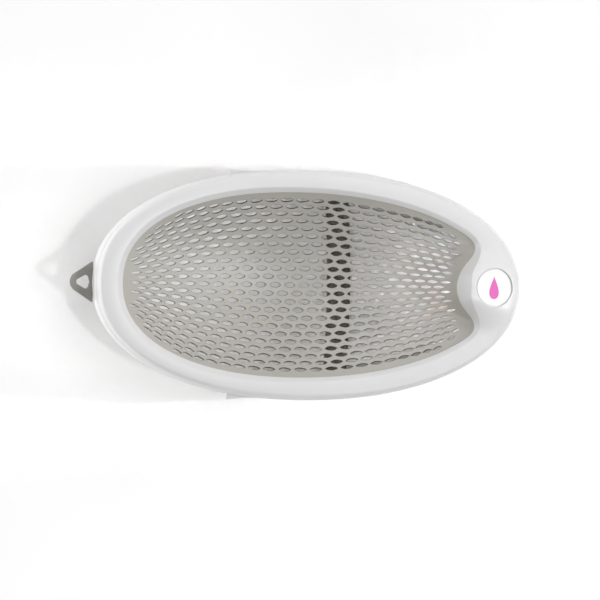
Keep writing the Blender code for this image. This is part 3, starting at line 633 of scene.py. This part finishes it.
def make_net(stations):
    surface_of = NetSurface(stations)
    holes = openings()
    flat, edges, borders = [], [], []
    border = [Vector((e.x, e.y)) for e in surface_of.edges]
    for i, point in enumerate(border):
        flat.append(point)
        edges.append((i, (i + 1) % len(border)))
        borders.append(-1)
    rings = []
    for number, (centre, points) in enumerate(holes):
        start = len(flat)
        ring = list(range(start, start + len(points)))
        rings.append(ring)
        for i, point in enumerate(points):
            flat.append(point)
            edges.append((start + i, start + (i + 1) % len(points)))
            borders.append(number)
    low, high = RIM_LOW_CORNER, RIM_HIGH_CORNER
    x = low.x
    row = 0
    reach_along, reach_across = GRID_REACHES
    grid = {}
    for centre, _ in holes:
        grid.setdefault((int(centre.x // CELL), int(centre.y // CELL)), []).append(centre)
    while x < high.x:
        y = low.y + (0.5 * NET_GRID if row % 2 else 0.0)
        while y < high.y:
            if net_field(x, y) < -NET_GRID_MARGIN:
                cell_x, cell_y = int(x // CELL), int(y // CELL)
                cells = [(cell_x + i, cell_y + j) for i in (-1, 0, 1) for j in (-1, 0, 1)]
                near = [c for cell in cells for c in grid.get(cell, [])]
                if all(((x - c.x) / reach_along) ** 2 + ((y - c.y) / reach_across) ** 2 > 1.0 for c in near):
                    flat.append(Vector((x, y)))
                    borders.append(-2)
            y += NET_GRID
        x += 0.87 * NET_GRID
        row += 1
    verts, _, faces, origins, _, _ = delaunay_2d_cdt(flat, edges, [], 0, 1e-7, True)
    came_from = [origin[0] if origin else -1 for origin in origins]
    kept = []
    for face in faces:
        members = [came_from[i] for i in face]
        kinds = {borders[m] if m >= 0 else -3 for m in members}
        if len(kinds) == 1 and min(kinds) >= 0:
            continue
        middle = sum((verts[i] for i in face), Vector((0.0, 0.0))) / 3.0
        if net_field(middle.x, middle.y) > 0.0 and kinds == {-1}:
            continue
        kept.append(members)
    points, normals, polygons = [], [], []

    def add(point, normal):
        points.append(point)
        normals.append(normal)
        return len(points) - 1

    tops, bottoms = [], []
    for spot in flat:
        top, normal = surface_of.point(spot.x, spot.y), surface_of.normal(spot.x, spot.y)
        tops.append(add(top, normal))
    for i, spot in enumerate(flat):
        under = points[tops[i]] - normals[tops[i]] * NET_THICKNESS
        bottoms.append(add(under, -normals[tops[i]]))
    for members in kept:
        if min(members) < 0:
            continue
        a, b, c = members
        turn = (flat[b] - flat[a]).cross(flat[c] - flat[a])
        a, b, c = (a, b, c) if turn > 0.0 else (a, c, b)
        polygons.append((tops[a], tops[b], tops[c]))
        polygons.append((bottoms[a], bottoms[c], bottoms[b]))
    for (centre, _), ring in zip(holes, rings):
        count = len(ring)
        middle = surface_of.point(centre.x, centre.y)
        levels = [[tops[i] for i in ring]]
        for step in range(1, WALL_STEPS):
            phi = math.pi * step / WALL_STEPS
            level = []
            for i in ring:
                top, normal = points[tops[i]], normals[tops[i]]
                inward = middle - top
                inward = (inward - normal * inward.dot(normal)).normalized()
                sink = 0.5 * NET_THICKNESS * (1.0 - math.copysign(abs(math.cos(phi)) ** 0.55, math.cos(phi)))
                into = OPENING_ROUND * math.sin(phi) ** 0.6
                facing = (normal * math.cos(phi) + inward * math.sin(phi)).normalized()
                level.append(add(top - normal * sink + inward * into, facing))
            levels.append(level)
        levels.append([bottoms[i] for i in ring])
        for near, far in zip(levels, levels[1:]):
            for i in range(count):
                j = (i + 1) % count
                polygons.append((near[i], far[i], far[j], near[j]))
    flange_top, flange_bottom = [], []
    for station in stations:
        up = rim_up(station.edge.x)
        rise = station.edge_rise - CLEARANCE
        flange_top.append(add(station.from_edge(NET_FLANGE, rise), up))
        flange_bottom.append(add(station.from_edge(NET_FLANGE, rise - NET_THICKNESS), -up))
    count = len(stations)
    for i in range(count):
        j = (i + 1) % count
        polygons.append((tops[i], flange_top[i], flange_top[j], tops[j]))
        polygons.append((flange_top[i], flange_bottom[i], flange_bottom[j], flange_top[j]))
        polygons.append((flange_bottom[i], bottoms[i], bottoms[j], flange_bottom[j]))
    data = bpy.data.meshes.new("net")
    data.from_pydata(points, [], polygons)
    data.update()
    data.shade_smooth()
    data.normals_split_custom_set_from_vertices(normals)
    net = add_piece("net", data, NET)
    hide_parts("seat_net")
    print("net:", len(holes), "openings,", len(polygons), "faces")


# --- the hanging loop --------------------------------------------------------------------------
def rounded_hull(circles, per_turn):
    """The outline around a convex row of circles (x, y, radius), counter-clockwise, arcs and lines."""
    points = []
    count = len(circles)
    bearings = []
    for i in range(count):
        x0, y0, r0 = circles[i]
        x1, y1, r1 = circles[(i + 1) % count]
        reach = math.hypot(x1 - x0, y1 - y0)
        bearings.append(math.atan2(y1 - y0, x1 - x0) - math.acos((r0 - r1) / reach))
    for i in range(count):
        x, y, radius = circles[i]
        start, end = bearings[i - 1], bearings[i]
        while end < start:
            end += 2.0 * math.pi
        steps = max(2, round(per_turn * (end - start) / (2.0 * math.pi)))
        for step in range(steps + 1):
            angle = start + (end - start) * step / steps
            points.append((x + radius * math.cos(angle), y + radius * math.sin(angle)))
    return points


def loop_frame():
    head = Station(math.pi)
    place = head.from_skirt(0.0, -SKIRT_DROP - 2.0 * CLEARANCE - 0.5 * LOOP_THICKNESS)
    up = rim_up(place.x)
    outwards = Vector((-up.z, 0.0, up.x))
    return place - outwards * LOOP_ROOT, outwards, up


def make_loop():
    hinge, outwards, up = loop_frame()
    sideways = up.cross(outwards)
    half = 0.5 * LOOP_WIDTH
    edge = LOOP_EDGE
    corner = 0.5 * LOOP_THICKNESS
    close = LOOP_CORNER_RADIUS
    back = LOOP_NOSE_RADIUS + CLEARANCE + close
    outer = [(LOOP_LENGTH - LOOP_TIP_RADIUS, 0.0, LOOP_TIP_RADIUS), (back, half - close, close),
             (back, close - half, close)]
    corner_x = LOOP_HOLE_BASE + LOOP_HOLE_BULGE
    hole = [(LOOP_HOLE_TIP, 0.0, LOOP_HOLE_RADIUS), (corner_x, LOOP_HOLE_HALF, LOOP_HOLE_RADIUS),
            (LOOP_HOLE_BASE + 0.5 * LOOP_HOLE_BULGE, 0.0, LOOP_HOLE_RADIUS),
            (corner_x, -LOOP_HOLE_HALF, LOOP_HOLE_RADIUS)]
    mesh = bmesh.new()

    def ring(circles, inset, height, per_turn):
        points = rounded_hull([(x, y, radius - inset) for x, y, radius in circles], per_turn)
        return [mesh.verts.new(hinge + outwards * x + sideways * y + up * height) for x, y in points]

    walls = []
    for circles, sign, per_turn in ((outer, 1.0, 120), (hole, -1.0, 90)):
        levels = []
        for step in range(9):
            phi = math.pi * (step / 8.0 - 0.5)
            inset = edge * (1.0 - math.cos(phi))
            height = math.copysign(corner - edge * (1.0 - abs(math.sin(phi))), math.sin(phi))
            height = 0.0 if step == 4 else height
            levels.append(ring(circles, sign * inset, height, per_turn))
        for near, far in zip(levels, levels[1:]):
            for i in range(len(near)):
                j = (i + 1) % len(near)
                mesh.faces.new((near[i], near[j], far[j], far[i]))
        walls.append(levels)
    for level in (0, -1):
        bounds = []
        for levels in walls:
            loop = levels[level]
            bounds += [mesh.edges.get((loop[i], loop[(i + 1) % len(loop)])) for i in range(len(loop))]
        bmesh.ops.triangle_fill(mesh, use_beauty=True, use_dissolve=False, edges=bounds)
    loop = add_piece("loop", mesh, RUBBER, "loop", 50.0)
    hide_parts("hanging_loop")


def make_anchor():
    hinge, outwards, up = loop_frame()
    half_thick = 0.5 * LOOP_THICKNESS
    roof = SKIRT_DROP + half_thick
    nose = []
    for step in range(13):
        bearing = math.pi * (step / 12.0 - 0.5)
        nose.append((LOOP_NOSE_RADIUS * math.cos(bearing), LOOP_NOSE_RADIUS * math.sin(bearing)))
    skirt_gap, bend_gap, foot_gap = ANCHOR_ROOF_GAPS
    profile = [(-LOOP_NECK, -half_thick), (-LOOP_NECK, -LOOP_NOSE_RADIUS)] + nose
    profile += [(-LOOP_NECK, LOOP_NOSE_RADIUS), (-LOOP_NECK, half_thick), (-ANCHOR_WEB[0], half_thick),
                (-ANCHOR_WEB[1], roof - skirt_gap), (-ANCHOR_BEND, roof - bend_gap),
                (-ANCHOR_FOOT, roof - foot_gap), (-ANCHOR_FOOT, -half_thick)]
    rows = []
    for y in (ANCHOR_LOW.y, ANCHOR_HIGH.y):
        rows.append([hinge + outwards * out + up * rise + Vector((0.0, y, 0.0)) for out, rise in profile])
    anchor = add_piece("anchor", loft(rows), RUBBER, sharp=25.0)
    soften(anchor, 0.0004)
    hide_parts("loop_anchor")


def soften(piece, width, segments=2, angle=30.0):
    """Round a piece's hard edges."""
    bevel = piece.modifiers.new("round", "BEVEL")
    bevel.width = width
    bevel.segments = segments
    bevel.limit_method = "ANGLE"
    bevel.angle_limit = math.radians(angle)
    bevel.harden_normals = False


# --- the clamp ring, the legs and the beam -------------------------------------------------------
def make_clamp(stations):
    loops = []
    for station in stations[::2]:
        low = station.edge_rise - CLAMP_DEPTH
        shelf = station.edge_rise - NET_THICKNESS - 2.0 * CLEARANCE
        seat = station.edge_rise - CLEARANCE
        wall = NET_FLANGE + CLEARANCE
        corners = [(CLAMP_SETBACK, shelf, 0.0006), (wall, shelf, 0.0), (wall, seat, 0.0),
                   (RAIL_WIDTH, seat, 0.0006), (RAIL_WIDTH, low, 0.0010), (CLAMP_SETBACK, low, 0.0010)]
        loops.append(rounded([(station.from_edge(out, rise), reach) for out, rise, reach in corners]))
    ring = add_piece("clamp_ring", loft(loops, closed=True), WHITE)
    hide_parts("net_clamp_ring")


def outline_angle(x):
    power = OUTLINE_POWERS[1] if x > OUTLINE_CENTRE else OUTLINE_POWERS[0]
    share = (abs(x - OUTLINE_CENTRE) / OUTLINE_REACH) ** (0.5 * power)
    return math.acos(math.copysign(share, x - OUTLINE_CENTRE))


def leg_section(part, side):
    x = LEG_HEAD_X + (LEG_FOOT_X - LEG_HEAD_X) * part
    station = Station(outline_angle(x))
    flare = LEG_FLARE * max(0.0, 1.0 - (x - LEG_HEAD_X) / FLARE_LENGTH) ** 2
    rake = Vector((LEG_RAKE * (1.0 - 2.0 * part), 0.0, 0.0))
    below = -SKIRT_DROP - CLEARANCE

    def at_floor(out, height):
        place = station.skirt + station.outward * out + rake
        return Vector((place.x, place.y, height))

    tongue = -WALL - SKIRT_DRAFT - 2.0 * CLEARANCE
    brow = station.from_skirt(flare, below)
    sole = at_floor(-LEG_INSET, PAD_HEIGHT)
    brow_back = station.from_skirt(flare - WALL, below - WALL)
    sole_back = at_floor(-LEG_INSET - WALL, PAD_HEIGHT + WALL)
    hollow = station.outward * (LEG_HOLLOW * flare)
    small, large = 0.0006, 0.0016
    corners = [(station.from_skirt(tongue, -LEG_TONGUE_TOP), small),
               (station.from_skirt(tongue + LEG_TONGUE_TAPER, below), 0.0), (brow, small),
               (brow.lerp(sole, LEG_HOLLOW_PART) - hollow, 0.006), (sole, large),
               (at_floor(-LEG_INSET - FOOT_FLANGE, PAD_HEIGHT), small),
               (at_floor(-LEG_INSET - FOOT_FLANGE, PAD_HEIGHT + WALL), small), (sole_back, large),
               (brow_back.lerp(sole_back, LEG_HOLLOW_PART) - hollow, 0.006), (brow_back, small),
               (station.from_skirt(tongue - WALL, below - WALL), 0.0),
               (station.from_skirt(tongue - WALL, -LEG_TONGUE_TOP), small)]
    return [Vector((point.x, point.y * side, point.z)) for point in rounded(corners)]


def make_leg(name, node, side):
    parts = [(i / (LEG_SECTIONS - 1)) ** LEG_CROWDING for i in range(LEG_SECTIONS)]
    leg = add_piece(name, loft([leg_section(part, side) for part in parts]), WHITE, sharp=30.0)
    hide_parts(node)


def along_beam(y):
    bow = -BEAM_BOW * (y / BEAM_HIGH.y) ** 2
    return Vector((BEAM_X + bow, y, 0.0))


def make_beam():
    half = 0.5 * BEAM_WIDTH
    base, top = BEAM_LOW.z, BEAM_HIGH.z
    floor, wall = base + BEAM_WALL, BEAM_WALL
    corners = [(-half, base, 0.0012), (half, base, 0.0012), (half, top, 0.0008), (half - wall, top, 0.0008),
               (half - wall, floor, 0.0003), (-half + wall, floor, 0.0003), (-half + wall, top, 0.0008),
               (-half, top, 0.0008)]
    loops = []
    for i in range(41):
        middle = along_beam(BEAM_HIGH.y * (i / 20.0 - 1.0))
        loops.append(rounded([(middle + Vector((x, 0.0, z)), reach) for x, z, reach in corners]))
    beam = add_piece("beam", loft(loops), WHITE, sharp=30.0)
    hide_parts("cross_beam")

    # The rubber strip's dark grey is partly its own colour and partly painted shade: it stands for the shade
    # deep in the channel under the net.
    inside = half - wall - CLEARANCE
    seat, crown = STRIP_LOW.z, STRIP_HIGH.z
    face = crown - RIB_RISE
    pitch = 2.0 * inside / RUBBER_RIBS
    comb = [(-inside, seat, 0.0003), (inside, seat, 0.0003), (inside - 0.0004, face, 0.0006)]
    for rib in range(RUBBER_RIBS, 0, -1):
        middle = -inside + pitch * (rib - 0.5)
        comb += [(middle + RIB_ROOT, face, 0.0005), (middle + RIB_TIP, crown, 0.0005),
                 (middle - RIB_TIP, crown, 0.0005), (middle - RIB_ROOT, face, 0.0005)]
    comb.append((-inside + 0.0004, face, 0.0006))
    loops = []
    for i in range(41):
        middle = along_beam(STRIP_HIGH.y * (i / 20.0 - 1.0))
        loops.append(rounded([(middle + Vector((x, 0.0, z)), reach) for x, z, reach in comb]))
    dark_strip_and_channel_shade = add_piece("grip", loft(loops), RUBBER, sharp=30.0)
    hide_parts("grip_strip")


# --- pads and screws -----------------------------------------------------------------------------
def make_pad(name, node):
    """A rubber foot pad with a softly rounded edge and grooves across its sole."""
    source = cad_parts[node].data
    low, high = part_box(node)
    centre = 0.5 * (low + high)
    side = 1.0 if centre.y > 0.0 else -1.0
    guess = Station(outline_angle(centre.x)).outward
    along = Vector((guess.y, -guess.x * side, 0.0)).normalized()
    across = Vector((-along.y, along.x, 0.0))
    spans = [((v.co - centre).dot(along), (v.co - centre).dot(across)) for v in source.vertices]
    half_long = max(abs(u) for u, _ in spans)
    half_wide = max(abs(v) for _, v in spans)
    corner = PAD_CORNER
    hull = rounded_hull([(half_long - corner, half_wide - corner, corner),
                         (corner - half_long, half_wide - corner, corner),
                         (corner - half_long, corner - half_wide, corner),
                         (half_long - corner, corner - half_wide, corner)], 32)
    loops = []
    levels = ((low.z, 0.0009), (low.z + 0.0004, 0.0002), (low.z + 0.0010, 0.0),
              (high.z - 0.0006, 0.0), (high.z - 0.0001, 0.0004), (high.z, 0.0010))
    for height, inset in levels:
        share_u, share_v = 1.0 - inset / half_long, 1.0 - inset / half_wide
        lift = Vector((0.0, 0.0, height - centre.z))
        loops.append([centre + along * (u * share_u) + across * (v * share_v) + lift for u, v in hull])
    pad = add_piece(name, loft(loops), RUBBER, sharp=40.0)
    grooves = bmesh.new()
    for i in range(PAD_GROOVES):
        place = centre + along * (half_long * (i - PAD_GROOVES // 2) * PAD_GROOVE_PITCH)
        place.z = low.z
        turn = Matrix((along, across, Vector((0.0, 0.0, 1.0)))).transposed().to_4x4()
        block = Matrix.Diagonal((PAD_GROOVE_WIDTH, 2.4 * half_wide, PAD_GROOVE_BLOCK, 1.0))
        bmesh.ops.create_cube(grooves, size=1.0, matrix=Matrix.Translation(place) @ turn @ block)
    mesh = boolean(pad, grooves)
    mesh.shade_smooth()
    mesh.set_sharp_from_angle(angle=math.radians(30))
    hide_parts(node)


def make_screw(name, node):
    """A pan-head screw with a cross recess, in the place of the CAD one."""
    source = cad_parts[node].data
    spots = [v.co.copy() for v in source.vertices]
    middle = sum(spots, Vector((0.0, 0.0, 0.0))) / len(spots)
    far = max(spots, key=lambda co: co.z)
    top = [co for co in spots if (co - far).length < SCREW_TIP_SPAN]
    tip = sum(top, Vector((0.0, 0.0, 0.0))) / len(top)
    length = (min(spots, key=lambda co: co.z) - far).length
    head_ring = [co for co in spots if (co - far).length > length - SCREW_HEAD_SPAN]
    head = sum(head_ring, Vector((0.0, 0.0, 0.0))) / len(head_ring)
    axis = (tip - head).normalized()
    reach = max((co - middle).dot(axis) for co in spots)
    base = min((co - middle).dot(axis) for co in spots)
    radius = max(((co - middle) - axis * (co - middle).dot(axis)).length for co in spots)
    shank = 0.5 * radius
    height = SCREW_HEAD_SHARE * radius
    profile = [(0.0, base)]
    for i in range(1, 6):
        turn = math.radians(18.0 * i)
        profile.append((radius * math.sin(turn), base + height * (1.0 - math.cos(turn)) * 0.95))
    profile += [(radius, base + height), (shank, base + height), (shank, reach - 0.0005),
                (shank - 0.0005, reach), (0.0, reach)]
    screw = add_piece(name, turned(profile, middle, axis, 24), STEEL, sharp=35.0)
    turn = axis.to_track_quat("Z", "Y").to_matrix()
    arm, half = CROSS_ARM_SHARE * radius, CROSS_HALF_SHARE * radius
    quarter = [(arm, -half), (arm, half), (half, half)]
    plus = []
    for i in range(4):
        c, s = round(math.cos(0.5 * math.pi * i)), round(math.sin(0.5 * math.pi * i))
        plus += [(x * c - y * s, x * s + y * c) for x, y in quarter]
    levels = (base - 0.4 * height, base + 0.4 * height)
    recess = loft([[middle + turn @ Vector((x, y, level)) for x, y in plus] for level in levels])
    mesh = boolean(screw, recess)
    mesh.shade_smooth()
    mesh.set_sharp_from_angle(angle=math.radians(35))
    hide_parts(node)


# --- floor, lights and camera --------------------------------------------------------------------
def make_stage():
    mesh = bmesh.new()
    bmesh.ops.create_grid(mesh, x_segments=1, y_segments=1, size=6.0)
    data = bpy.data.meshes.new("floor")
    mesh.to_mesh(data)
    mesh.free()
    material = bpy.data.materials.new("floor_white")
    material.use_nodes = True
    nodes, links = material.node_tree.nodes, material.node_tree.links
    shader = nodes["Principled BSDF"]
    shader.inputs["Base Color"].default_value = (0.92, 0.92, 0.92, 1.0)
    shader.inputs["Roughness"].default_value = 0.9
    shader.inputs["Specular IOR Level"].default_value = 0.1
    data.materials.append(material)
    floor = bpy.data.objects.new("floor", data)
    bpy.context.scene.collection.objects.link(floor)
    return floor


def soft_box(name, receivers, azimuth, elevation, size, power, spread=180.0):
    """A square soft box that aims at the seat from LIGHT_REACH away. Azimuth 0 is +X, 90 is +Y."""
    turn, rise = math.radians(azimuth), math.radians(elevation)
    towards = Vector((math.cos(turn) * math.cos(rise), math.sin(turn) * math.cos(rise), math.sin(rise)))
    data = bpy.data.lights.new(name, "AREA")
    data.shape = "SQUARE"
    data.size = size
    data.energy = power
    data.spread = math.radians(spread)
    lamp = bpy.data.objects.new(name, data)
    lamp.location = towards * LIGHT_REACH
    lamp.rotation_mode = "QUATERNION"
    lamp.rotation_quaternion = (-towards).to_track_quat("-Z", "Y")
    lamp.visible_camera = False
    lamp.light_linking.receiver_collection = receivers
    bpy.context.scene.collection.objects.link(lamp)


def receivers(name, floor, state):
    """What a light reaches: only the floor, or everything but the floor."""
    group = bpy.data.collections.new(name)
    group.objects.link(floor)
    group.collection_objects[0].light_linking.link_state = state
    return group


def make_lights(floor):
    """Two linked sets of soft boxes: one reaches everything but the floor, the other only the floor.

    The powers began as a least-squares fit to a wanted brightness and were then changed.
    """
    world = bpy.data.worlds.new("studio")
    world.use_nodes = True
    world.node_tree.nodes["Background"].inputs["Color"].default_value = (1.0, 1.0, 1.0, 1.0)
    world.node_tree.nodes["Background"].inputs["Strength"].default_value = 0.0
    bpy.context.scene.world = world
    bpy.context.scene.view_settings.view_transform = "Standard"
    on_seat = receivers("lit_seat", floor, "EXCLUDE")
    soft_box("key_foot", on_seat, -12, 36, 0.3, 21.0)
    soft_box("foot", on_seat, 0, 42, 1.0, 18.5)
    soft_box("foot_back", on_seat, 45, 42, 1.0, 7.1)
    soft_box("top", on_seat, 0, 90, 1.2, 6.5)
    soft_box("top_back", on_seat, 60, 68, 0.9, 12.6)
    soft_box("top_front", on_seat, 300, 68, 0.9, 7.4)
    soft_box("back", on_seat, 90, 35, 0.8, 12.0)
    soft_box("low_head", on_seat, 180, 9, 0.6, 34.0)
    soft_box("mid_head", on_seat, 180, 24, 0.9, 17.0)
    soft_box("mid_head_back", on_seat, 150, 20, 0.9, 3.0)
    soft_box("low_back", on_seat, 120, 17, 0.9, 14.4)
    soft_box("low_foot_back", on_seat, 30, 17, 0.9, 7.4)
    soft_box("low_front", on_seat, 240, 17, 0.9, 15.0)
    on_floor = receivers("lit_floor", floor, "INCLUDE")
    soft_box("under_foot", on_floor, 0, 10, 0.24, 0.36, 8.0)
    soft_box("under_foot_high", on_floor, 0, 20, 0.24, 0.40, 8.0)
    soft_box("under_foot_front", on_floor, -32, 11, 0.24, 0.14, 8.0)
    soft_box("under_foot_back", on_floor, 32, 11, 0.24, 0.14, 8.0)
    soft_box("spot_right", on_floor, -25, 76, 0.12, 16.0)
    soft_box("spot_left", on_floor, 25, 76, 0.12, 1.4)
    soft_box("floor_front_right", on_floor, 300, 68, 0.9, 15.7)
    soft_box("floor_back_right", on_floor, 60, 68, 0.9, 12.2)
    soft_box("floor_right", on_floor, 0, 68, 0.9, 10.5)
    soft_box("floor_back_left", on_floor, 120, 68, 0.9, 4.7)
    soft_box("floor_mid_back_left", on_floor, 135, 42, 1.0, 12.7)
    soft_box("floor_mid_back", on_floor, 90, 42, 1.0, 5.8)
    soft_box("floor_mid_back_right", on_floor, 45, 42, 1.0, 7.2)
    soft_box("floor_mid_front_right", on_floor, 325, 42, 0.2, 7.0)
    soft_box("floor_mid_front", on_floor, 270, 42, 1.0, 2.5)
    soft_box("floor_mid_front_left", on_floor, 225, 42, 1.0, 7.9)
    soft_box("floor_low_front_left", on_floor, 240, 17, 0.9, 20.9)
    soft_box("floor_low_front", on_floor, 270, 17, 0.9, 5.8)
    soft_box("floor_low_left", on_floor, 210, 17, 0.9, 3.8)
    soft_box("floor_low_back_left", on_floor, 150, 17, 0.9, 12.3)
    soft_box("floor_low_back_right", on_floor, 30, 17, 0.9, 6.5)


def make_camera():
    data = bpy.data.cameras.new("camera")
    data.sensor_width = 36.0
    data.lens = CAMERA_LENS
    data.clip_start, data.clip_end = 0.1, 20.0
    camera = bpy.data.objects.new("camera", data)
    camera.location = (CAMERA_X, CAMERA_Y, CAMERA_HEIGHT)
    camera.rotation_euler = (0.0, 0.0, CAMERA_TURN)
    bpy.context.scene.collection.objects.link(camera)
    bpy.context.scene.camera = camera


def main():
    stations = [Station(2.0 * math.pi * i / RIM_STATIONS) for i in range(RIM_STATIONS)]
    make_rim(stations)
    make_badge()
    make_net(stations)
    make_clamp(stations)
    make_leg("leg_left", "left_leg", 1.0)
    make_leg("leg_right", "right_leg", -1.0)
    make_beam()
    make_loop()
    make_anchor()
    for side in ("left", "right"):
        for end in ("head", "foot"):
            make_pad(f"pad_{side}_{end}", f"foot_pad_{side}_{end}")
    for node in sorted(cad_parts):
        if "_screw_" in node:
            make_screw("pan_" + node, node)
    make_lights(make_stage())
    make_camera()


main()
bpy.context.view_layer.update()
